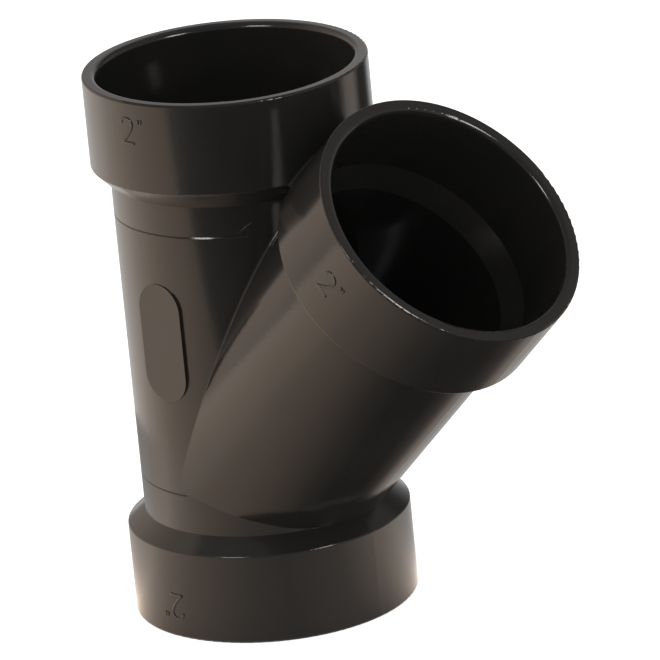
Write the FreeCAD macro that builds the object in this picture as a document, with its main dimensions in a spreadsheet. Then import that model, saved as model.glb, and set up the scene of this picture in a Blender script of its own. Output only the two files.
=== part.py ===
import FreeCAD, Part
import math
import os

import Sketcher
from FreeCAD import Placement, Rotation, Vector

# One-piece 45 degree wye for drain pipe, with a glue socket at each of its three ends.
# Millimetres. The run stands on Z, and the branch leaves it in the XZ plane towards +X.
# The origin is the centre of the lower hub's end face.

SIZES = {
    # Sockets: a lead-in from a slightly wider mouth, a straight wall and a sloping stop
    "socket_diameter": 60.4,
    "mouth_widening": 0.24,
    "lead_length": 6.0,
    "socket_depth": 21.2,
    "stop_height": 3.2,
    "stop_ramp": 5.6,
    "mouth_round": 1.4,
    # Walls: the hubs round the sockets, and the barrels between the hubs
    "hub_wall": 3.5,
    "hub_overrun": 0.5,
    "barrel_wall": 2.35,
    "taper_length": 3.6,
    "taper_overlap": 0.3,
    "taper_round": 0.5,
    "rim_round": 0.5,
    # Layout: the branch's underside meets the run at the heel, above the lower hub, and the
    # two barrels part at the crotch, below the two upper hubs
    "branch_angle": 45.0,
    "heel_height": 2.44,
    "crotch_drop": 4.14,
    "crease_round": 0.5,
    # Flat-faced pad on the front of the run
    "pad_width": 12.8,
    "pad_length": 29.0,
    "pad_rise": 21.6,
    "pad_proud": 0.2,
    # Fine lines that the mould leaves round the run, as angles round its back
    "upper_line_drop": 7.9,
    "upper_line_span": 276.0,
    "lower_line_drop": 1.8,
    "lower_line_span": 190.0,
    "line_width": 0.4,
    "line_depth": 0.15,
}

# Sizes that follow from the ones above. A reach runs from the junction, where the two axes
# cross, to a hub's end face. The tapers always cover the crotch and the heel.
FORMULAS = {
    "socket_radius": "socket_diameter / 2",
    "mouth_radius": "(socket_diameter + mouth_widening) / 2",
    "waterway_radius": "socket_radius - stop_height",
    "hub_radius": "socket_radius + hub_wall",
    "barrel_radius": "waterway_radius + barrel_wall",
    "hub_length": "socket_depth + hub_overrun",
    "crease_slope": "tan(branch_angle / 2)",
    "heel": "hub_length + heel_height",
    "junction": "heel + barrel_radius * crease_slope",
    "crotch_reach": "barrel_radius / crease_slope",
    "crotch": "junction + crotch_reach",
    "reach": "crotch_reach + crotch_drop + hub_length",
    "height": "junction + reach",
    "taper_start": "min(reach - hub_length - taper_length; crotch_reach - taper_overlap)",
    "lower_taper_end": "max(hub_length + taper_length; heel + taper_overlap)",
    "pad_middle": "junction + pad_rise + pad_length / 2",
    "upper_line": "crotch - upper_line_drop",
    "lower_line": "junction - lower_line_drop",
}

TINY = 1e-4


class Size:
    """A length worked out from the sheet: its value and the expression that binds it."""

    def __init__(self, value, expression):
        self.value = value
        self.expression = expression

    def __add__(self, other):
        return Size(self.value + other.value, f"({self.expression} + {other.expression})")

    def __sub__(self, other):
        return Size(self.value - other.value, f"({self.expression} - {other.expression})")

    def __truediv__(self, number):
        return Size(self.value / number, f"({self.expression} / {number})")


NOUGHT = Size(0.0, "0")


def fill_sheet(document):
    """Write the driving sizes and the formulas that follow from them, one to a row."""
    sheet = document.addObject("Spreadsheet::Sheet", "sizes")
    cells = {name: str(number) for name, number in SIZES.items()}
    cells |= {name: f"={formula}" for name, formula in FORMULAS.items()}
    for row, (name, content) in enumerate(cells.items(), start=1):
        sheet.set(f"A{row}", name.replace("_", " "))
        sheet.setAlias(f"B{row}", name)
        sheet.set(f"B{row}", content)
    document.recompute()


def size(name):
    return Size(FreeCAD.ActiveDocument.sizes.get(name), f"sizes.{name}")


def new_sketch(body, name):
    """A sketch on the body's XZ plane: its x is the part's X, and its y is the part's Z."""
    plane = next(item for item in body.Origin.OriginFeatures if item.Role == "XZ_Plane")
    sketch = body.newObject("Sketcher::SketchObject", name)
    sketch.AttachmentSupport = [(plane, "")]
    sketch.MapMode = "FlatFace"
    return sketch


def bind(sketch, constraint, place):
    index = sketch.addConstraint(constraint)
    sketch.setExpression(f"Constraints[{index}]", place.expression)


def pin(sketch, edge, end, x, y):
    """Hold one point of the sketch at a place worked out from the sheet."""
    if x is NOUGHT:
        sketch.addConstraint(Sketcher.Constraint("PointOnObject", edge, end, -2))
    else:
        bind(sketch, Sketcher.Constraint("DistanceX", -1, 1, edge, end, x.value), x)
    if y is NOUGHT:
        sketch.addConstraint(Sketcher.Constraint("PointOnObject", edge, end, -1))
    else:
        bind(sketch, Sketcher.Constraint("DistanceY", -1, 1, edge, end, y.value), y)


def trimmed_corner(before, corner, after, radius):
    """The two ends and the middle of an arc that rounds a corner."""
    back = (before - corner).normalize()
    ahead = (after - corner).normalize()
    half = back.getAngle(ahead) / 2
    middle_line = (back + ahead).normalize()
    middle = corner + middle_line * (radius / math.sin(half) - radius)
    reach = radius / math.tan(half)
    return corner + back * reach, middle, corner + ahead * reach


def draw_outline(sketch, corners):
    """Draw a closed outline of straight edges. A corner's third value, if any, rounds it."""
    places = [Vector(x.value, y.value, 0) for x, y, *_ in corners]
    count = len(corners)
    arcs = {}
    for index, (_, _, *rounding) in enumerate(corners):
        if rounding:
            neighbours = places[index - 1], places[index], places[(index + 1) % count]
            arcs[index] = trimmed_corner(*neighbours, rounding[0].value)
    for index in range(count):
        following = (index + 1) % count
        start = arcs[index][2] if index in arcs else places[index]
        end = arcs[following][0] if following in arcs else places[following]
        sketch.addGeometry(Part.LineSegment(start, end), False)
    for index, (x, y, *rounding) in enumerate(corners):
        line_in = (index - 1) % count
        if not rounding:
            sketch.addConstraint(Sketcher.Constraint("Coincident", line_in, 2, index, 1))
            pin(sketch, index, 1, x, y)
            continue
        arc_shape = Part.Arc(*arcs[index])
        arc = sketch.addGeometry(arc_shape, False)
        mark = sketch.addGeometry(Part.Point(places[index]), True)
        pin(sketch, mark, 1, x, y)
        sketch.addConstraint(Sketcher.Constraint("PointOnObject", mark, 1, line_in))
        sketch.addConstraint(Sketcher.Constraint("PointOnObject", mark, 1, index))
        forward = (arc_shape.toShape().Vertexes[0].Point - arcs[index][0]).Length < TINY
        near, far = (1, 2) if forward else (2, 1)
        sketch.addConstraint(Sketcher.Constraint("Tangent", line_in, 2, arc, near))
        sketch.addConstraint(Sketcher.Constraint("Tangent", index, 1, arc, far))
        bind(sketch, Sketcher.Constraint("Radius", arc, rounding[0].value), rounding[0])


def turn_solid(body, kind, name, sketch, angle=None):
    """Turn an outline about the sketch's upright axis, to add to or cut from the body."""
    feature = body.newObject(kind, name)
    feature.Profile = sketch
    feature.ReferenceAxis = (sketch, ["V_Axis"])
    feature.Refine = False
    if angle is None:
        feature.Angle = 360
    else:
        feature.Midplane = True
        feature.setExpression("Angle", angle.expression)
    sketch.Visibility = False
    return feature


def lean_over_branch(sketch):
    """Move a sketch so that its origin is the junction and its y runs up the branch."""
    junction = size("junction")
    lean = Rotation(Vector(0, 0, 1), -SIZES["branch_angle"])
    sketch.AttachmentOffset = Placement(Vector(0, junction.value, 0), lean)
    sketch.setExpression("AttachmentOffset.Base.y", junction.expression)
    sketch.setExpression("AttachmentOffset.Rotation.Angle", "-sizes.branch_angle")


def outer_run(body):
    """The run's outside: lower hub, barrel and upper hub, with a taper behind each hub."""
    hub = size("hub_radius")
    barrel = size("barrel_radius")
    soft = size("taper_round")
    sketch = new_sketch(body, "run_outline")
    draw_outline(
        sketch,
        [
            (NOUGHT, NOUGHT),
            (hub, NOUGHT),
            (hub, size("hub_length"), soft),
            (barrel, size("lower_taper_end")),
            (barrel, size("junction") + size("taper_start")),
            (hub, size("height") - size("hub_length"), soft),
            (hub, size("height")),
            (NOUGHT, size("height")),
        ],
    )
    return turn_solid(body, "PartDesign::Revolution", "run_outside", sketch)


def outer_branch(body):
    """The branch's outside, from the junction to its hub's end face."""
    hub = size("hub_radius")
    barrel = size("barrel_radius")
    sketch = new_sketch(body, "branch_outline")
    lean_over_branch(sketch)
    draw_outline(
        sketch,
        [
            (NOUGHT, NOUGHT),
            (barrel, NOUGHT),
            (barrel, size("taper_start")),
            (hub, size("reach") - size("hub_length"), size("taper_round")),
            (hub, size("reach")),
            (NOUGHT, size("reach")),
        ],
    )
    return turn_solid(body, "PartDesign::Revolution", "branch_outside", sketch)


def raised_pad(body):
    """A flat-faced pad with round ends, which stands off the front of the barrel."""
    half_width = size("pad_width") / 2
    half_straight = (size("pad_length") - size("pad_width")) / 2
    top = size("pad_middle") + half_straight
    bottom = size("pad_middle") - half_straight
    sketch = new_sketch(body, "pad_outline")
    radius = half_width.value
    upward = Vector(0, 0, 1)
    left, right = -radius, radius
    cap = Part.Circle(Vector(0, top.value, 0), upward, radius)
    toe = Part.Circle(Vector(0, bottom.value, 0), upward, radius)
    sketch.addGeometry(
        [
            Part.LineSegment(Vector(right, bottom.value, 0), Vector(right, top.value, 0)),
            Part.ArcOfCircle(cap, 0, math.pi),
            Part.LineSegment(Vector(left, top.value, 0), Vector(left, bottom.value, 0)),
            Part.ArcOfCircle(toe, math.pi, 2 * math.pi),
        ],
        False,
    )
    for edge, following in ((0, 1), (1, 2), (2, 3), (3, 0)):
        sketch.addConstraint(Sketcher.Constraint("Tangent", edge, 2, following, 1))
    pin(sketch, 1, 3, NOUGHT, top)
    pin(sketch, 3, 3, NOUGHT, bottom)
    bind(sketch, Sketcher.Constraint("Radius", 1, radius), half_width)
    pad = body.newObject("PartDesign::Pad", "front_pad")
    pad.Profile = sketch
    pad.Refine = False
    pad.setExpression("Length", "sizes.barrel_radius + sizes.pad_proud")
    sketch.Visibility = False
    return pad


def far_socket(end):
    """Corners of the space in a tube from its waterway out to the socket at its far end."""
    stop = end - size("socket_depth")
    return [
        (size("waterway_radius"), stop - size("stop_ramp")),
        (size("socket_radius"), stop),
        (size("socket_radius"), end - size("lead_length")),
        (size("mouth_radius"), end),
        (NOUGHT, end),
    ]


def run_bore(body):
    """Both sockets of the run and the waterway between their stops."""
    near_socket = [
        (NOUGHT, NOUGHT),
        (size("mouth_radius"), NOUGHT),
        (size("socket_radius"), size("lead_length")),
        (size("socket_radius"), size("socket_depth")),
        (size("waterway_radius"), size("socket_depth") + size("stop_ramp")),
    ]
    sketch = new_sketch(body, "run_bore_outline")
    draw_outline(sketch, near_socket + far_socket(size("height")))
    return turn_solid(body, "PartDesign::Groove", "run_bore", sketch)


def branch_bore(body):
    """The branch's waterway, open into the run, and its socket."""
    inner_end = [(NOUGHT, NOUGHT), (size("waterway_radius"), NOUGHT)]
    sketch = new_sketch(body, "branch_bore_outline")
    lean_over_branch(sketch)
    draw_outline(sketch, inner_end + far_socket(size("reach")))
    return turn_solid(body, "PartDesign::Groove", "branch_bore", sketch)


def mould_line(body, name, height, span):
    """A fine V groove round the back of the barrel, which stops short of the branch."""
    back = NOUGHT - size("barrel_radius")
    outside = back - size("line_depth")
    sketch = new_sketch(body, f"{name}_outline")
    draw_outline(
        sketch,
        [
            (back + size("line_depth"), height),
            (outside, height + size("line_width")),
            (outside, height - size("line_width")),
        ],
    )
    return turn_solid(body, "PartDesign::Groove", name, sketch, span)


def crease_edges(shape):
    """Edges where the barrel of the branch meets the barrel of the run."""
    names = []
    for number, edge in enumerate(shape.Edges, start=1):
        walls = [face.Surface for face in shape.ancestorsOfType(edge, Part.Face)]
        if len(walls) != 2 or any(wall.TypeId != "Part::GeomCylinder" for wall in walls):
            continue
        if not walls[0].Axis.isParallel(walls[1].Axis, TINY):
            names.append(f"Edge{number}")
    return names


def round_edges_at_ends(shape, radius):
    """Circular edges of one radius, about an end of the run or of the branch."""
    lean = math.radians(SIZES["branch_angle"])
    up_branch = Vector(math.sin(lean), 0, math.cos(lean))
    junction = Vector(0, 0, size("junction").value)
    ends = [
        Vector(0, 0, 0),
        Vector(0, 0, size("height").value),
        junction + up_branch * size("reach").value,
    ]
    names = []
    for number, edge in enumerate(shape.Edges, start=1):
        if edge.Degenerated or edge.Curve.TypeId != "Part::GeomCircle":
            continue
        off_centre = min((edge.Curve.Center - end).Length for end in ends)
        if off_centre < TINY and abs(edge.Curve.Radius - radius.value) < TINY:
            names.append(f"Edge{number}")
    return names


def fillet(body, name, base, edges, radius):
    feature = body.newObject("PartDesign::Fillet", name)
    feature.Base = (base, edges)
    feature.Refine = False
    feature.setExpression("Radius", radius.expression)
    return feature


def build_wye(document):
    body = document.addObject("PartDesign::Body", "wye_body")
    body.Label = "wye_body"
    body.Placement = Placement(Vector(0, 0, 0), Rotation())
    outer_run(body)
    outside = outer_branch(body)
    document.recompute()
    fillet(body, "crease_rounds", outside, crease_edges(outside.Shape), size("crease_round"))
    raised_pad(body)
    mould_line(body, "upper_mould_line", size("upper_line"), size("upper_line_span"))
    mould_line(body, "lower_mould_line", size("lower_line"), size("lower_line_span"))
    run_bore(body)
    bored = branch_bore(body)
    document.recompute()
    rims = round_edges_at_ends(bored.Shape, size("hub_radius"))
    rimmed = fillet(body, "rim_rounds", bored, rims, size("rim_round"))
    document.recompute()
    mouths = round_edges_at_ends(rimmed.Shape, size("mouth_radius"))
    fillet(body, "mouth_rounds", rimmed, mouths, size("mouth_round"))
    return body


def check(document, parts):
    """Stop before anything is written if a feature failed or a solid isn't sound."""
    for item in document.Objects:
        if "Invalid" in item.State or "Error" in item.State:
            raise RuntimeError(f"{item.Name} could not be built: {item.State}")
    for part in parts:
        if part.Shape.isNull() or not part.Shape.isValid() or len(part.Shape.Solids) != 1:
            raise RuntimeError(f"{part.Label} isn't one sound solid")


def main():
    document = FreeCAD.newDocument("wye_fitting")
    fill_sheet(document)
    parts = [build_wye(document)]
    document.recompute()
    check(document, parts)
    os.makedirs("parts", exist_ok=True)
    for part in parts:
        part.Shape.exportStep(f"parts/{part.Label}.step")
        print(part.Label, f"{part.Shape.Volume:.0f} mm3", f"{len(part.Shape.Faces)} faces")


main()
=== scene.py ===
"""A 45 degree drain wye in black ABS, with its size marks and mould flash, on a pale floor."""

import logging
import math
from dataclasses import dataclass
from enum import Enum

import bpy
from mathutils import Matrix, Vector


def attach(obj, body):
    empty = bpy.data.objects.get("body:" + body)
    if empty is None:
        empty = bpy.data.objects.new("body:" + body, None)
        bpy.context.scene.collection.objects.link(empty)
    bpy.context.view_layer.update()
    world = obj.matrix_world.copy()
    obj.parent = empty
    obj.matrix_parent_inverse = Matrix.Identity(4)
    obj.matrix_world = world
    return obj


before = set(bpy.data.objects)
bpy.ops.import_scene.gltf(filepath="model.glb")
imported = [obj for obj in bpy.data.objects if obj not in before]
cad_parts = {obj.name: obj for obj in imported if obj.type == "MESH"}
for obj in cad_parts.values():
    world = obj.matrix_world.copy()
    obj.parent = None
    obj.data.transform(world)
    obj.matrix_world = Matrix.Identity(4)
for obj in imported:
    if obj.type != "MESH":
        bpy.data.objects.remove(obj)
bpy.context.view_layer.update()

LOG = logging.getLogger("wye")
MM = 0.001
NODE = "wye_body"
BODY = "root"
UP = Vector((0.0, 0.0, 1.0))
FRONT = Vector((0.0, -1.0, 0.0))
ORIGIN = (0.0, 0.0, 0.0)
WHITE = (1.0, 1.0, 1.0, 1.0)

Point = tuple[float, float]
Stops = tuple[tuple[float, float, float], ...]


@dataclass(frozen=True)
class Sizes:
    """The fitting's main sizes in millimetres, as the solid has them.

    Args:
        hub_radius: Outer radius of the three hubs.
        barrel_radius: Outer radius of the two barrels.
        junction: Height at which the barrels' axes cross.
        reach: Distance from there to the upper and the branch hub's end faces.
        branch_angle: Angle between the barrels, in degrees.
        upper_seam: Height of the upper mould line.
    """

    hub_radius: float = 33.7
    barrel_radius: float = 29.35
    junction: float = 36.297
    reach: float = 96.697
    branch_angle: float = 45.0
    upper_seam: float = 99.3

    @property
    def height(self) -> float:
        """Height of the upper hub's end face."""
        return self.junction + self.reach


SIZES = Sizes()


def wipe_selection() -> None:
    """Go to object mode and deselect everything."""
    if bpy.context.object and bpy.context.object.mode != "OBJECT":
        bpy.ops.object.mode_set(mode="OBJECT")
    bpy.ops.object.select_all(action="DESELECT")


def select_only(piece: bpy.types.Object) -> None:
    """Make one object the selected and active one.

    Args:
        piece: The object that the next operators act on.
    """
    wipe_selection()
    piece.select_set(True)
    bpy.context.view_layer.objects.active = piece


def heading(turn: float, rise: float = 0.0) -> Vector:
    """Work out a direction.

    Args:
        turn: Degrees round the run from +X.
        rise: Degrees above the horizon.

    Returns:
        The direction, one unit long.
    """
    around = math.radians(turn)
    above = math.radians(rise)
    return Vector((
        math.cos(around) * math.cos(above),
        math.sin(around) * math.cos(above),
        math.sin(above),
    ))


def link(
    tree: bpy.types.NodeTree, source: bpy.types.NodeSocket, target: bpy.types.NodeSocket
) -> None:
    """Join two sockets.

    Args:
        tree: The nodes of a material or world.
        source: The output.
        target: The input that takes it.
    """
    tree.links.new(source, target)


def empty_material(name: str) -> bpy.types.Material:
    """Make a material that has no nodes yet.

    Args:
        name: Its name.

    Returns:
        The material.
    """
    material = bpy.data.materials.new(name)
    material.use_nodes = True
    material.node_tree.nodes.clear()
    return material


def seen_rays(tree: bpy.types.NodeTree) -> bpy.types.NodeSocket:
    """Tell the rays that show the background from those that light the object.

    Args:
        tree: The nodes of a material or world.

    Returns:
        A value of 1 for camera, glossy and transmission rays, and 0 for the others.
    """
    rays = tree.nodes.new("ShaderNodeLightPath")
    mirror = tree.nodes.new("ShaderNodeMath")
    mirror.operation = "MAXIMUM"
    link(tree, rays.outputs["Is Glossy Ray"], mirror.inputs[0])
    link(tree, rays.outputs["Is Transmission Ray"], mirror.inputs[1])
    seen = tree.nodes.new("ShaderNodeMath")
    seen.operation = "MAXIMUM"
    link(tree, rays.outputs["Is Camera Ray"], seen.inputs[0])
    link(tree, mirror.outputs["Value"], seen.inputs[1])
    return seen.outputs["Value"]


@dataclass(frozen=True)
class Noise:
    """A noise texture.

    Args:
        scale: How many of its coarsest waves there are to the metre.
        detail: How many finer layers it has.
    """

    scale: float
    detail: float

    def build(self, tree: bpy.types.NodeTree, place: bpy.types.NodeSocket) -> bpy.types.NodeSocket:
        """Add the texture to a material.

        Args:
            tree: The material's nodes.
            place: The point that it is read at.

        Returns:
            Its value there, from 0 to 1.
        """
        texture = tree.nodes.new("ShaderNodeTexNoise")
        texture.inputs["Scale"].default_value = self.scale
        texture.inputs["Detail"].default_value = self.detail
        link(tree, place, texture.inputs["Vector"])
        return texture.outputs["Fac"]


@dataclass(frozen=True)
class GlossyAbs:
    """Black injection-moulded ABS: a warm near-black skin with a faint mottle and a fine gloss.

    Args:
        deep: The pigment's darkest colour.
        warm: The pigment where the skin is thinnest.
        mottle: Where the one gives way to the other.
        mottle_from: Value of the mottle up to which the pigment is at its darkest.
        mottle_to: Value from which it is at its warmest.
        smoothest: Roughness where the skin has the most gloss.
        roughest: Roughness where it has the least.
        scuff: Where the one gives way to the other.
        ripple: The skin's slight waves.
        ripple_strength: How much they show, from 0 to 1.
        ripple_height: Their height, in metres.
        ior: Index of refraction.
        name: Name of the material.
    """

    deep: tuple[float, float, float] = (0.026, 0.0252, 0.0244)
    warm: tuple[float, float, float] = (0.033, 0.0310, 0.0288)
    mottle: Noise = Noise(scale=38.0, detail=4.0)
    mottle_from: float = 0.35
    mottle_to: float = 0.68
    smoothest: float = 0.08
    roughest: float = 0.20
    scuff: Noise = Noise(scale=150.0, detail=5.0)
    ripple: Noise = Noise(scale=900.0, detail=2.0)
    ripple_strength: float = 0.06
    ripple_height: float = 0.0002
    ior: float = 1.52
    name: str = "glossy_abs"

    def build(self) -> bpy.types.Material:
        """Make the material.

        Returns:
            The material, ready to be put on a piece.
        """
        material = empty_material(self.name)
        tree = material.node_tree
        output = tree.nodes.new("ShaderNodeOutputMaterial")
        skin = tree.nodes.new("ShaderNodeBsdfPrincipled")
        skin.inputs["IOR"].default_value = self.ior
        place = tree.nodes.new("ShaderNodeTexCoord").outputs["Object"]

        pigment = tree.nodes.new("ShaderNodeValToRGB")
        darkest, warmest = pigment.color_ramp.elements
        darkest.position = self.mottle_from
        darkest.color = (*self.deep, 1.0)
        warmest.position = self.mottle_to
        warmest.color = (*self.warm, 1.0)
        link(tree, self.mottle.build(tree, place), pigment.inputs["Fac"])
        link(tree, pigment.outputs["Color"], skin.inputs["Base Color"])

        sheen = tree.nodes.new("ShaderNodeMapRange")
        sheen.inputs["To Min"].default_value = self.smoothest
        sheen.inputs["To Max"].default_value = self.roughest
        link(tree, self.scuff.build(tree, place), sheen.inputs["Value"])
        link(tree, sheen.outputs["Result"], skin.inputs["Roughness"])

        bump = tree.nodes.new("ShaderNodeBump")
        bump.inputs["Strength"].default_value = self.ripple_strength
        bump.inputs["Distance"].default_value = self.ripple_height
        link(tree, self.ripple.build(tree, place), bump.inputs["Height"])
        link(tree, bump.outputs["Normal"], skin.inputs["Normal"])
        link(tree, skin.outputs["BSDF"], output.inputs["Surface"])
        return material


@dataclass(frozen=True)
class Knot:
    """A point that a bar's line follows.

    Args:
        place: The point.
        swell: Thickness of the bar there, as a share of its full thickness.
        twist: How far the bar is turned about its line there, in degrees.
    """

    place: Vector
    swell: float = 1.0
    twist: float = 0.0


@dataclass(frozen=True)
class Bar:
    """A bar along a smooth line, in the unit of its knots.

    Args:
        knots: The points that its line follows.
        thickness: Its full thickness.
        steps: How many lengths the line has from one knot to the next.
        rounding: How finely its section is rounded; 0 for a square one.
        order: How many knots together shape a stretch of the line.
    """

    knots: tuple[Knot, ...]
    thickness: float
    steps: int
    rounding: int = 3
    order: int = 3

    def build(self) -> bpy.types.Object:
        """Model the bar.

        Returns:
            The bar as a mesh.
        """
        wipe_selection()
        bpy.ops.curve.primitive_nurbs_path_add(radius=1.0, location=ORIGIN)
        bar = bpy.context.object
        line = bar.data
        line.splines.clear()
        spline = line.splines.new("NURBS")
        spline.points.add(len(self.knots) - 1)
        for point, knot in zip(spline.points, self.knots):
            point.co = (*knot.place, 1.0)
            point.radius = knot.swell
            point.tilt = math.radians(knot.twist)
        spline.order_u = self.order
        spline.use_endpoint_u = True
        spline.resolution_u = self.steps
        line.dimensions = "3D"
        line.bevel_depth = self.thickness / 2
        line.bevel_resolution = self.rounding
        line.use_fill_caps = True
        select_only(bar)
        bpy.ops.object.convert(target="MESH")
        return bpy.context.object


def dress(piece: bpy.types.Object, name: str, finish: bpy.types.Material) -> None:
    """Name a new piece and cover it.

    Args:
        piece: The piece.
        name: Its name.
        finish: The material that covers it.
    """
    piece.name = name
    piece.data.name = name
    piece.data.materials.clear()
    piece.data.materials.append(finish)


@dataclass(frozen=True)
class Axis:
    """A hub's own axis: where it starts, where it points, and the side that counts as round 0.

    Args:
        foot: Point on the axis at the hub's open end, in millimetres.
        inward: Direction from the open end into the fitting.
        front: Direction from the axis towards round 0 degrees.
    """

    foot: Vector
    inward: Vector
    front: Vector

    def point(self, turn: float, depth: float, radius: float) -> Vector:
        """Place of a point on the hub.

        Args:
            turn: Angle round the axis from the front, in radians.
            depth: Distance in from the open end, in millimetres.
            radius: Distance from the axis, in millimetres.

        Returns:
            The point in metres.
        """
        sideways = self.inward.cross(self.front)
        out = self.front * math.cos(turn) + sideways * math.sin(turn)
        return (self.foot + self.inward * depth + out * radius) * MM


@dataclass
class Moulding:
    """The one-piece fitting itself, which keeps the solid's shape and gets its finish.

    Args:
        finish: The material that covers it.
    """

    finish: bpy.types.Material

    def build(self) -> bpy.types.Object:
        """Dress the solid.

        Returns:
            The dressed object.
        """
        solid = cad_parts[NODE]
        solid.data.materials.clear()
        solid.data.materials.append(self.finish)
        return solid


@dataclass
class SizeMark:
    """A raised 2 and its inch tick, wrapped round a hub, with the hub's open end at their top.

    Args:
        name: Name of the piece.
        axis: The hub that carries it.
        turn: Angle of the digit's middle round the hub, in degrees.
        depth: Distance of the digit's middle from the hub's open end, in millimetres.
        finish: The material that covers it.
        height: Height of the digit, in millimetres.
        stroke: Width of the stroke, in millimetres.
        relief: How far it stands off the hub, in millimetres.
        steps: How many lengths a stroke has from one of its points to the next.
        digit: The digit's curved stroke, in heights of the digit from its middle.
        foot: Its straight stroke.
        ticks: The two strokes of the inch tick.
        weld: Distance within which two points become one, in metres.
    """

    name: str
    axis: Axis
    turn: float
    depth: float
    finish: bpy.types.Material
    height: float = 5.9
    stroke: float = 0.75
    relief: float = 0.20
    steps: int = 6
    digit: tuple[Point, ...] = (
        (-0.30, 0.28),
        (-0.26, 0.44),
        (-0.08, 0.52),
        (0.14, 0.50),
        (0.28, 0.36),
        (0.26, 0.16),
        (0.10, -0.10),
        (-0.12, -0.34),
        (-0.30, -0.50),
    )
    foot: tuple[Point, ...] = ((-0.30, -0.50), (0.0, -0.50), (0.32, -0.50))
    ticks: tuple[tuple[Point, ...], ...] = (
        ((0.60, 0.50), (0.59, 0.42), (0.57, 0.34)),
        ((0.74, 0.50), (0.73, 0.42), (0.71, 0.34)),
    )
    weld: float = 0.00001

    def flat_stroke(self, points: tuple[Point, ...]) -> bpy.types.Object:
        """Draw one stroke flat, as a round bar along a smooth line.

        Args:
            points: The line's points, in heights of the digit from its middle.

        Returns:
            The bar as a mesh, flat on XY in millimetres.
        """
        knots = tuple(
            Knot(Vector((across * self.height, up * self.height, 0.0))) for across, up in points
        )
        return Bar(knots, self.stroke, self.steps).build()

    def wrap(self, piece: bpy.types.Object) -> None:
        """Lay the flat mark on the hub, and flatten its bars to the relief.

        Args:
            piece: The flat mark in millimetres.
        """
        middle = math.radians(self.turn)
        half = self.stroke / 2
        for vertex in piece.data.vertices:
            across, up, out = vertex.co
            turn = middle - across / SIZES.hub_radius
            rise = SIZES.hub_radius + max(out, -half / 2) * self.relief / half
            vertex.co = self.axis.point(turn, self.depth - up, rise)

    def build(self) -> bpy.types.Object:
        """Model the mark and put it on its hub.

        Returns:
            The finished mark.
        """
        strokes = [self.flat_stroke(points) for points in (self.digit, self.foot, *self.ticks)]
        select_only(strokes[0])
        for stroke in strokes[1:]:
            stroke.select_set(True)
        bpy.ops.object.join()
        piece = bpy.context.object
        self.wrap(piece)
        select_only(piece)
        bpy.ops.object.mode_set(mode="EDIT")
        bpy.ops.mesh.select_all(action="SELECT")
        bpy.ops.mesh.remove_doubles(threshold=self.weld)
        bpy.ops.mesh.normals_make_consistent(inside=False)
        bpy.ops.object.mode_set(mode="OBJECT")
        bpy.ops.object.shade_smooth()
        dress(piece, self.name, self.finish)
        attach(piece, BODY)
        return piece


def along_seam(start: int, stop: int, height: float, step: int = 6) -> tuple[Point, ...]:
    """Places along a mould line, close enough together to follow the barrel.

    Args:
        start: Where they start, in degrees round the run from +X.
        stop: Where they stop.
        height: The mould line's height, in millimetres.
        step: Degrees from one place to the next.

    Returns:
        The places, as degrees and heights.
    """
    return tuple((float(turn), height) for turn in range(start, stop, step))


@dataclass
class Flash:
    """A thin bead of plastic that squeezed out of the mould's joint, on the run's barrel.

    Args:
        name: Name of the piece.
        line: Places along the bead: degrees round the run from +X, and height in millimetres.
        finish: The material that covers it.
        width: Width of the bead, in millimetres.
        lean: Degrees that a square bead is turned by, so that one of its flats faces up; 0 for
            a round bead.
        tip: Width of its two ends, as a share of its own width.
        steps: How many lengths it has from one place to the next.
    """

    name: str
    line: tuple[Point, ...]
    finish: bpy.types.Material
    width: float = 0.36
    lean: float = 0.0
    tip: float = 0.35
    steps: int = 8

    def knot(self, index: int) -> Knot:
        """Find one of the bead's places on the barrel.

        Args:
            index: Which place it is along the bead.

        Returns:
            The place in metres, with the bead's width and turn there.
        """
        turn, height = self.line[index]
        place = heading(turn) * SIZES.barrel_radius + UP * height
        at_an_end = index in (0, len(self.line) - 1)
        return Knot(place * MM, self.tip if at_an_end else 1.0, self.lean)

    def build(self) -> bpy.types.Object:
        """Model the bead, half sunk in the barrel.

        Returns:
            The finished bead.
        """
        knots = tuple(self.knot(index) for index in range(len(self.line)))
        if self.lean:
            piece = Bar(knots, self.width * MM, self.steps, rounding=0).build()
            bpy.ops.object.shade_flat()
        else:
            piece = Bar(knots, self.width * MM, self.steps).build()
            bpy.ops.object.shade_smooth()
        dress(piece, self.name, self.finish)
        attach(piece, BODY)
        return piece


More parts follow.
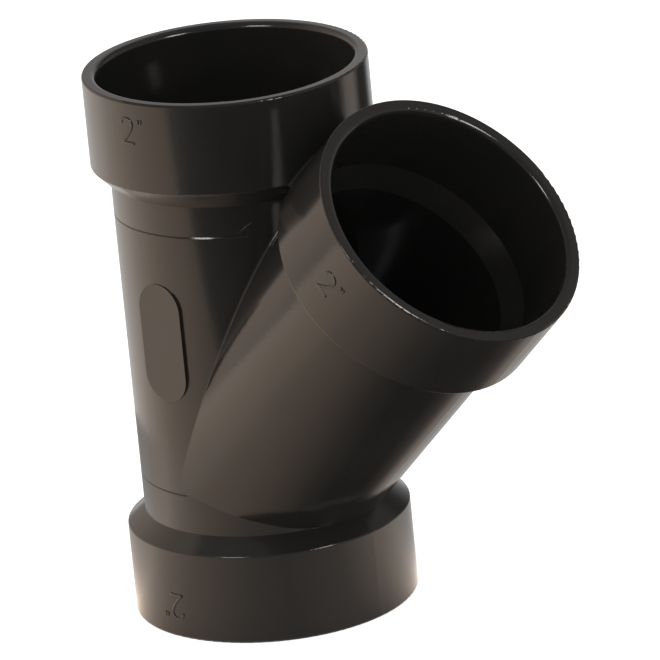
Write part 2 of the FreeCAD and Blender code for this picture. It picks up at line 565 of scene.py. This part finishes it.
@dataclass(frozen=True)
class Lens:
    """The photograph's camera, as its place and turn round the fitting.

    Args:
        azimuth: Degrees round the fitting from the front.
        elevation: Degrees above the horizon.
        roll: Degrees that the camera leans.
        distance: Millimetres from the aim to the camera.
        aim: Point that the camera faces before the two offsets, in millimetres.
        right: Offset of the aim along the picture's right, in millimetres.
        up: Offset of the aim up the picture, in millimetres.
        focal_pixels: Focal length, in pixels of the picture.
        picture_pixels: Width of the picture, in pixels.
        sensor: Width of the sensor, in millimetres.
        sight: Distance up to which the camera sees, in metres.
    """

    azimuth: float = 44.6247
    elevation: float = 18.7352
    roll: float = -5.57546
    distance: float = 2052.587
    aim: tuple[float, float, float] = (15.0, 0.0, 65.0)
    right: float = 7.84466
    up: float = 2.89601
    focal_pixels: float = 8725.126
    picture_pixels: float = 660.0
    sensor: float = 36.0
    sight: float = 100.0

    def build(self) -> bpy.types.Object:
        """Set up the camera.

        Returns:
            The scene's camera.
        """
        right = heading(self.azimuth)
        back = heading(self.azimuth - 90.0, self.elevation)
        up = back.cross(right)
        place = Vector(self.aim) + right * self.right + up * self.up + back * self.distance
        lean = math.radians(self.roll)
        right_leant = right * math.cos(lean) + up * math.sin(lean)
        up_leant = up * math.cos(lean) - right * math.sin(lean)
        rotation = Matrix((right_leant, up_leant, back)).transposed()
        wipe_selection()
        bpy.ops.object.camera_add()
        camera = bpy.context.object
        camera.name = "photograph_camera"
        camera.matrix_world = Matrix.Translation(place * MM) @ rotation.to_4x4()
        camera.data.sensor_width = self.sensor
        camera.data.lens = self.focal_pixels / self.picture_pixels * self.sensor
        camera.data.clip_end = self.sight
        bpy.context.scene.camera = camera
        return camera


class Reach(Enum):
    """What a lamp does: lights the surfaces, or only shows as a highlight in their gloss."""

    SOFT = "soft"
    SPARKLE = "sparkle"


@dataclass(frozen=True)
class Lamp:
    """A flat lamp that faces the fitting.

    Args:
        name: Name of the lamp.
        turn: Direction it stands in, in degrees to the camera's right.
        rise: Its height, in degrees above the fitting.
        far: Its distance, in metres.
        width: Its width, in metres.
        height: Its height from edge to edge, in metres.
        power: Its power, in watts.
        reach: What it does.
        colour: Colour of its light.
        aim: Point that it faces, in metres.
    """

    name: str
    turn: float
    rise: float
    far: float
    width: float
    height: float
    power: float
    reach: Reach
    colour: tuple[float, float, float] = (1.0, 0.97, 0.93)
    aim: tuple[float, float, float] = (0.02, 0.0, 0.075)

    def build(self, straight_on: float) -> bpy.types.Object:
        """Hang the lamp.

        Args:
            straight_on: Direction of the camera, in degrees from +X.

        Returns:
            The lamp.
        """
        way = heading(straight_on + self.turn, self.rise)
        wipe_selection()
        bpy.ops.object.light_add(type="AREA", location=Vector(self.aim) + way * self.far)
        lamp = bpy.context.object
        lamp.name = self.name
        lamp.data.shape = "RECTANGLE"
        lamp.data.size = self.width
        lamp.data.size_y = self.height
        lamp.data.energy = self.power
        lamp.data.color = self.colour
        lamp.rotation_euler = way.to_track_quat("Z", "Y").to_euler()
        lamp.visible_glossy = self.reach is Reach.SPARKLE
        lamp.visible_diffuse = self.reach is Reach.SOFT
        return lamp


@dataclass(frozen=True)
class PaleFloor:
    """A pale matt floor that also shines where it is seen, so that it shows as white.

    Args:
        colour: Its colour, which takes the fitting's shadow.
        shine: How much it shines.
        name: Name of the material.
    """

    colour: tuple[float, float, float] = (0.86, 0.86, 0.86)
    shine: float = 0.85
    name: str = "pale_floor"

    def build(self) -> bpy.types.Material:
        """Make the material.

        Returns:
            The material.
        """
        material = empty_material(self.name)
        tree = material.node_tree
        output = tree.nodes.new("ShaderNodeOutputMaterial")
        matt = tree.nodes.new("ShaderNodeBsdfDiffuse")
        matt.inputs["Color"].default_value = (*self.colour, 1.0)
        strength = tree.nodes.new("ShaderNodeMath")
        strength.operation = "MULTIPLY"
        strength.inputs[1].default_value = self.shine
        link(tree, seen_rays(tree), strength.inputs[0])
        glow = tree.nodes.new("ShaderNodeEmission")
        glow.inputs["Color"].default_value = WHITE
        link(tree, strength.outputs["Value"], glow.inputs["Strength"])
        both = tree.nodes.new("ShaderNodeAddShader")
        link(tree, matt.outputs["BSDF"], both.inputs[0])
        link(tree, glow.outputs["Emission"], both.inputs[1])
        link(tree, both.outputs["Shader"], output.inputs["Surface"])
        return material


# Places of a Mix node's sockets when it mixes colours
MIX_FACTOR = 0
MIX_FIRST_COLOUR = 6
MIX_SECOND_COLOUR = 7
MIX_RESULT = 2


@dataclass(frozen=True)
class Grade:
    """How bright and how warm a cloth glows in a reflection, by direction: a painted reflection
    that stands in for the studio's light and shade.

    Args:
        stops: A direction in degrees to the camera's right, its brightness, and its warmth from 0
            for white to 1 for lamplight.
        from_above: The same for a cloth that is looked down on, where that differs, so that the
            painted reflection changes with the slant.
        above_to: Slant up to which it is looked down on, from 0 for straight to 1 for edge on.
        glance_from: Slant from which it is seen at a glance.
        fade_from: Height at which its painted reflection starts to darken, in metres.
        fade_to: Height at which it stops darkening.
        fade_left: Share of the brightness that is left there.
        gain: Brightness that the brightest stop may have.
        green_loss: Share of the green that a warmth of 1 takes away.
        blue_loss: Share of the blue that it takes away.
    """

    stops: Stops
    from_above: Stops = ()
    above_to: float = 0.2
    glance_from: float = 0.6
    fade_from: float = 5.0
    fade_to: float = 6.0
    fade_left: float = 1.0
    gain: float = 3.0
    green_loss: float = 0.22
    blue_loss: float = 0.38

    def ramp(
        self, tree: bpy.types.NodeTree, turn: bpy.types.NodeSocket, stops: Stops
    ) -> bpy.types.NodeSocket:
        """Set the stops on a ramp.

        Args:
            tree: The material's nodes.
            turn: The direction, from 0 to 1.
            stops: The stops.

        Returns:
            The colour in that direction.
        """
        ramp = tree.nodes.new("ShaderNodeValToRGB")
        elements = ramp.color_ramp.elements
        given = len(elements)
        for index, (degrees, level, warmth) in enumerate(stops):
            position = (degrees + 180.0) / 360.0
            stop = elements[index] if index < given else elements.new(position)
            stop.position = position
            share = level / self.gain
            green = share * (1.0 - self.green_loss * warmth)
            blue = share * (1.0 - self.blue_loss * warmth)
            stop.color = (share, green, blue, 1.0)
        link(tree, turn, ramp.inputs["Fac"])
        return ramp.outputs["Color"]

    def colour(
        self, tree: bpy.types.NodeTree, turn: bpy.types.NodeSocket
    ) -> bpy.types.NodeSocket:
        """Colour of the cloth's painted reflection, at a glance and from above.

        Args:
            tree: The material's nodes.
            turn: The direction, from 0 to 1.

        Returns:
            The colour.
        """
        glance = self.ramp(tree, turn, self.stops)
        if not self.from_above:
            return glance
        weight = tree.nodes.new("ShaderNodeLayerWeight")
        slant = tree.nodes.new("ShaderNodeMapRange")
        slant.inputs["From Min"].default_value = self.above_to
        slant.inputs["From Max"].default_value = self.glance_from
        link(tree, weight.outputs["Facing"], slant.inputs["Value"])
        blend = tree.nodes.new("ShaderNodeMix")
        blend.data_type = "RGBA"
        above = self.ramp(tree, turn, self.from_above)
        link(tree, slant.outputs["Result"], blend.inputs[MIX_FACTOR])
        link(tree, above, blend.inputs[MIX_FIRST_COLOUR])
        link(tree, glance, blend.inputs[MIX_SECOND_COLOUR])
        return blend.outputs[MIX_RESULT]

    def build(self, name: str, straight_on: float) -> bpy.types.Material:
        """Make the cloth's material.

        Args:
            name: Name of the material.
            straight_on: Direction of the camera, in degrees from +X.

        Returns:
            The cloth, which glows in proportion to the grade though it is no lamp: a painted
            reflection.
        """
        material = empty_material(name)
        tree = material.node_tree
        output = tree.nodes.new("ShaderNodeOutputMaterial")
        place = tree.nodes.new("ShaderNodeTexCoord").outputs["Object"]
        turned = tree.nodes.new("ShaderNodeMapping")
        turned.inputs["Rotation"].default_value = (0.0, 0.0, -math.radians(straight_on))
        link(tree, place, turned.inputs["Vector"])
        round_about = tree.nodes.new("ShaderNodeTexGradient")
        round_about.gradient_type = "RADIAL"
        link(tree, turned.outputs["Vector"], round_about.inputs["Vector"])
        split = tree.nodes.new("ShaderNodeSeparateXYZ")
        link(tree, place, split.inputs["Vector"])
        fade = tree.nodes.new("ShaderNodeMapRange")
        fade.inputs["From Min"].default_value = self.fade_from
        fade.inputs["From Max"].default_value = self.fade_to
        fade.inputs["To Min"].default_value = self.gain
        fade.inputs["To Max"].default_value = self.gain * self.fade_left
        link(tree, split.outputs["Z"], fade.inputs["Value"])
        # The cloth glows though it is no lamp, painting light and shade into the reflections.
        cloth = tree.nodes.new("ShaderNodeEmission")
        link(tree, self.colour(tree, round_about.outputs["Fac"]), cloth.inputs["Color"])
        link(tree, fade.outputs["Result"], cloth.inputs["Strength"])
        link(tree, cloth.outputs["Emission"], output.inputs["Surface"])
        return material


def even_grade(level: float) -> Grade:
    """Make a grade that is the same in every direction.

    Args:
        level: Its brightness.

    Returns:
        The grade, without any warmth.
    """
    return Grade(((-180.0, level, 0.0), (180.0, level, 0.0)))


# Painted reflection of the surroundings: warm light to the left, shade in front, darker higher up.
CURTAIN_PAINTED_REFLECTION = Grade(
    (
        (-180.0, 0.52, 0.1),
        (-160.0, 0.42, 0.4),
        (-140.0, 0.85, 0.8),
        (-110.0, 1.05, 0.9),
        (-60.0, 0.45, 0.8),
        (0.0, 0.20, 0.0),
        (80.0, 0.38, 0.3),
        (125.0, 0.40, 0.5),
        (137.0, 0.10, 0.3),
        (145.0, 0.12, 0.3),
        (164.0, 0.60, 0.1),
    ),
    fade_from=0.3,
    fade_to=0.6,
    fade_left=0.7,
)
# Painted reflection of the floor near the foot: lit floor to the left and right, shaded floor in
# front.
NEAR_FLOOR_PAINTED_REFLECTION = Grade(
    (
        (-180.0, 0.40, 0.0),
        (-145.0, 0.42, 0.2),
        (-118.0, 1.05, 0.6),
        (-95.0, 1.85, 0.8),
        (-55.0, 1.10, 1.0),
        (-14.0, 0.46, 0.7),
        (8.0, 0.33, 0.5),
        (44.0, 0.58, 0.7),
        (79.0, 1.55, 0.8),
        (96.0, 1.50, 0.6),
        (120.0, 0.75, 0.2),
        (150.0, 0.55, 0.0),
    ),
    # Looked down on: painted shadow of the fitting on the floor under the branch, darkest from 28
    # to 58 degrees; at a glance the floor shows brighter, a painted sheen.
    from_above=(
        (-180.0, 0.50, 0.1),
        (-90.0, 1.35, 1.1),
        (-40.0, 0.95, 1.1),
        (7.0, 0.17, 0.8),
        (28.0, 0.03, 0.3),
        (58.0, 0.03, 0.3),
        (74.0, 0.12, 0.9),
        (99.0, 0.34, 0.6),
        (130.0, 0.45, 0.3),
    ),
)
# Painted reflection of the floor further out: lit floor to the left, dark in front and to the
# right, with a lit strip from 106 to 117 degrees and a dark one from 127 to 143.
FAR_FLOOR_PAINTED_REFLECTION = Grade((
    (-180.0, 0.70, 0.0),
    (-160.0, 0.75, 0.1),
    (-122.0, 1.65, 0.6),
    (-98.0, 1.80, 0.9),
    (-60.0, 1.35, 1.1),
    (-38.0, 0.85, 1.0),
    (0.0, 0.25, 0.8),
    (60.0, 0.10, 0.5),
    (98.0, 0.15, 0.4),
    (106.0, 1.05, 0.6),
    (117.0, 1.00, 0.6),
    (127.0, 0.06, 0.2),
    (143.0, 0.06, 0.2),
    (155.0, 0.70, 0.0),
))
# Painted dark reflection: a dark sheet on the floor in front of the fitting, lighter towards its
# left end.
FRONT_FLOOR_PAINTED_REFLECTION = Grade((
    (-60.0, 0.50, 0.8),
    (-48.0, 0.36, 0.6),
    (-31.0, 0.12, 0.3),
    (-10.0, 0.03, 0.1),
    (20.0, 0.02, 0.0),
    (60.0, 0.02, 0.0),
    (95.0, 0.08, 0.0),
))
# Painted shade: a dark disc on the floor inside the foot, where the fitting shades the floor.
UNDER_FLOOR_PAINTED_SHADE = even_grade(0.02)
# Painted reflection overhead: a dim, even glow above the fitting.
OVERHEAD_PAINTED_REFLECTION = even_grade(0.20)


@dataclass(frozen=True)
class PaintedFloorReflection:
    """A flat cloth on the floor that glows in reflections only, a painted reflection of the floor's
    light and shade, in the shape of a ring or of a disc cut off along a straight line.

    Args:
        name: Name of the cloth.
        grade: Its brightness in a reflection.
        inner: Radius at which it starts, in metres from the fitting's axis; 0 for a disc.
        outer: Radius at which it ends.
        lift: Its height above the floor, in metres.
        cut_turn: Direction in which it lies beyond its straight edge, in degrees to the
            camera's right.
        cut_at: Distance of that edge from the axis; 0 for no edge.
        sides: How many sides its round edges have.
    """

    name: str
    grade: Grade
    inner: float
    outer: float
    lift: float
    cut_turn: float = 0.0
    cut_at: float = 0.0
    sides: int = 144

    def build(self, straight_on: float) -> bpy.types.Object:
        """Lay the cloth.

        Args:
            straight_on: Direction of the camera, in degrees from +X.

        Returns:
            The cloth.
        """
        wipe_selection()
        bpy.ops.mesh.primitive_circle_add(
            vertices=self.sides,
            radius=self.inner or self.outer,
            fill_type="NOTHING" if self.inner else "NGON",
            location=ORIGIN,
        )
        cloth = bpy.context.object
        bpy.ops.object.mode_set(mode="EDIT")
        bpy.ops.mesh.select_all(action="SELECT")
        if self.inner:
            widening = self.outer / self.inner
            bpy.ops.mesh.extrude_edges_move()
            bpy.ops.transform.resize(value=(widening, widening, 1.0), center_override=ORIGIN)
        if self.cut_at:
            outward = heading(straight_on + self.cut_turn)
            bpy.ops.mesh.select_all(action="SELECT")
            bpy.ops.mesh.bisect(plane_co=outward * self.cut_at, plane_no=outward, clear_inner=True)
        bpy.ops.mesh.select_all(action="SELECT")
        bpy.ops.transform.translate(value=(0.0, 0.0, self.lift))
        bpy.ops.object.mode_set(mode="OBJECT")
        return cloth


@dataclass(frozen=True)
class Studio:
    """A pale floor, a white surround, glowing cloths that paint light and shade into the
    reflections, and lamps.

    Args:
        straight_on: Direction of the camera, in degrees from +X.
        floor_size: Side of the floor, in metres.
        fill: Strength of the surround as a light.
        curtain_radius: Distance of the upright cloth from the fitting, in metres.
        curtain_height: Its height.
        curtain_sides: How many sides it has.
        overhead_sides: How many sides the cloth overhead has.
        painted_floor_reflections: The cloths on the floor that glow in reflections, painting the
            floor's light and shade, from the fitting outwards, and the one in front.
        lamps: The lamps.
    """

    straight_on: float = -45.38
    floor_size: float = 12.0
    fill: float = 0.45
    curtain_radius: float = 0.62
    curtain_height: float = 0.9
    curtain_sides: int = 144
    overhead_sides: int = 72
    painted_floor_reflections: tuple[PaintedFloorReflection, ...] = (
        PaintedFloorReflection("under_floor", UNDER_FLOOR_PAINTED_SHADE, inner=0.0, outer=0.0295, lift=0.0004),
        PaintedFloorReflection("near_floor", NEAR_FLOOR_PAINTED_REFLECTION, inner=0.0338, outer=0.15, lift=0.0004),
        PaintedFloorReflection("far_floor", FAR_FLOOR_PAINTED_REFLECTION, inner=0.15, outer=0.62, lift=0.0002),
        PaintedFloorReflection(
            "front_floor",
            FRONT_FLOOR_PAINTED_REFLECTION,
            inner=0.0,
            outer=0.62,
            lift=0.0003,
            cut_turn=24.1,
            cut_at=0.134,
        ),
    )
    lamps: tuple[Lamp, ...] = (
        Lamp(
            "left_key",
            turn=-115.0,
            rise=24.0,
            far=1.0,
            width=1.0,
            height=1.0,
            power=3.5,
            reach=Reach.SOFT,
            colour=(1.0, 0.84, 0.68),
        ),
        Lamp(
            "right_window",
            turn=44.0,
            rise=27.0,
            far=0.55,
            width=0.15,
            height=0.14,
            power=0.80,
            reach=Reach.SPARKLE,
        ),
        Lamp(
            "left_window",
            turn=-37.0,
            rise=32.0,
            far=0.55,
            width=0.17,
            height=0.12,
            power=0.66,
            reach=Reach.SPARKLE,
        ),
    )

    def surround(self) -> None:
        """White all round where it shows, and dimmer as a light."""
        world = bpy.data.worlds.new("studio_surround")
        bpy.context.scene.world = world
        world.use_nodes = True
        tree = world.node_tree
        tree.nodes.clear()
        output = tree.nodes.new("ShaderNodeOutputWorld")
        strength = tree.nodes.new("ShaderNodeMapRange")
        strength.inputs["To Min"].default_value = self.fill
        strength.inputs["To Max"].default_value = 1.0
        link(tree, seen_rays(tree), strength.inputs["Value"])
        glow = tree.nodes.new("ShaderNodeBackground")
        glow.inputs["Color"].default_value = WHITE
        link(tree, strength.outputs["Result"], glow.inputs["Strength"])
        link(tree, glow.outputs["Background"], output.inputs["Surface"])

    def floor(self) -> None:
        """Lay the floor that the fitting stands on."""
        wipe_selection()
        bpy.ops.mesh.primitive_plane_add(size=self.floor_size, location=ORIGIN)
        floor = bpy.context.object
        floor.name = "studio_floor"
        floor.data.materials.append(PaleFloor().build())

    def hang(self, cloth: bpy.types.Object, name: str, grade: Grade) -> None:
        """Finish a cloth: it glows in reflections only, painting light and shade there, and casts
        no shadow.

        Args:
            cloth: The cloth.
            name: Its name.
            grade: Its brightness in a reflection.
        """
        cloth.name = name
        # Its material glows: a painted reflection, though the cloth is no lamp.
        cloth.data.materials.append(grade.build(f"{name}_cloth", self.straight_on))
        cloth.visible_camera = False
        cloth.visible_diffuse = False
        cloth.visible_shadow = False

    def upright(self) -> bpy.types.Object:
        """Stand the cloth that goes all round.

        Returns:
            The cloth.
        """
        wipe_selection()
        bpy.ops.mesh.primitive_cylinder_add(
            vertices=self.curtain_sides,
            radius=self.curtain_radius,
            depth=self.curtain_height,
            end_fill_type="NOTHING",
            location=(0.0, 0.0, self.curtain_height / 2),
        )
        bpy.ops.object.transform_apply(location=True, rotation=True, scale=True)
        return bpy.context.object

    def roof(self) -> bpy.types.Object:
        """Stretch the cloth that closes it overhead.

        Returns:
            The cloth.
        """
        wipe_selection()
        bpy.ops.mesh.primitive_circle_add(
            vertices=self.overhead_sides,
            radius=self.curtain_radius,
            fill_type="NGON",
            location=(0.0, 0.0, self.curtain_height),
        )
        bpy.ops.object.transform_apply(location=True, rotation=True, scale=True)
        return bpy.context.object

    def build(self) -> None:
        """Set up the surround, the floor, the cloths and the lamps."""
        self.surround()
        self.floor()
        self.hang(self.upright(), "curtain", CURTAIN_PAINTED_REFLECTION)
        self.hang(self.roof(), "overhead", OVERHEAD_PAINTED_REFLECTION)
        for flat in self.painted_floor_reflections:
            self.hang(flat.build(self.straight_on), flat.name, flat.grade)
        for lamp in self.lamps:
            lamp.build(self.straight_on)


@dataclass
class Wye:
    """The whole fitting: the moulding, and the marks and flash on it.

    Args:
        finish: The plastic's material.
    """

    finish: bpy.types.Material

    def marks(self) -> tuple[SizeMark, ...]:
        """Place the three hubs' size marks.

        Returns:
            The marks of the upper, the lower and the branch hub.
        """
        lean = math.radians(SIZES.branch_angle)
        up_branch = Vector((math.sin(lean), 0.0, math.cos(lean)))
        upper = Axis(UP * SIZES.height, -UP, FRONT)
        lower = Axis(Vector(ORIGIN), UP, FRONT)
        branch = Axis(UP * SIZES.junction + up_branch * SIZES.reach, -up_branch, FRONT)
        return (
            SizeMark("upper_size_mark", upper, turn=0.1, depth=7.05, finish=self.finish),
            SizeMark("lower_size_mark", lower, turn=0.1, depth=7.75, finish=self.finish),
            SizeMark("branch_size_mark", branch, turn=2.5, depth=10.8, finish=self.finish),
        )

    def beads(self) -> tuple[Flash, ...]:
        """Place the beads of flash.

        Returns:
            One beside the crotch, one low on the far side, and one in the upper mould line.
        """
        beside_crotch = ((-45.6, 100.4), (-42.5, 101.6), (-39.8, 102.5))
        low_far_side = ((18.7, 27.8), (27.0, 26.3), (36.3, 25.4), (44.0, 25.6))
        in_seam = along_seam(start=-77, stop=-52, height=SIZES.upper_seam)
        return (
            Flash("upper_flash", beside_crotch, self.finish),
            Flash("lower_flash", low_far_side, self.finish),
            Flash("seam_flash", in_seam, self.finish, width=0.56, lean=19.0),
        )

    def build(self) -> list[bpy.types.Object]:
        """Build the moulding, its size marks and its beads of flash.

        Returns:
            The finished pieces, in that order.
        """
        parts = (Moulding(self.finish), *self.marks(), *self.beads())
        return [part.build() for part in parts]


def main() -> None:
    """Build the camera, the studio and the fitting, and report each of its pieces."""
    logging.basicConfig(level=logging.INFO, format="%(name)s: %(message)s")
    bpy.context.scene.view_settings.view_transform = "Standard"
    Lens().build()
    Studio().build()
    for piece in Wye(GlossyAbs().build()).build():
        LOG.info("%s: %d faces", piece.name, len(piece.data.polygons))
    wipe_selection()


if __name__ == "__main__":
    main()
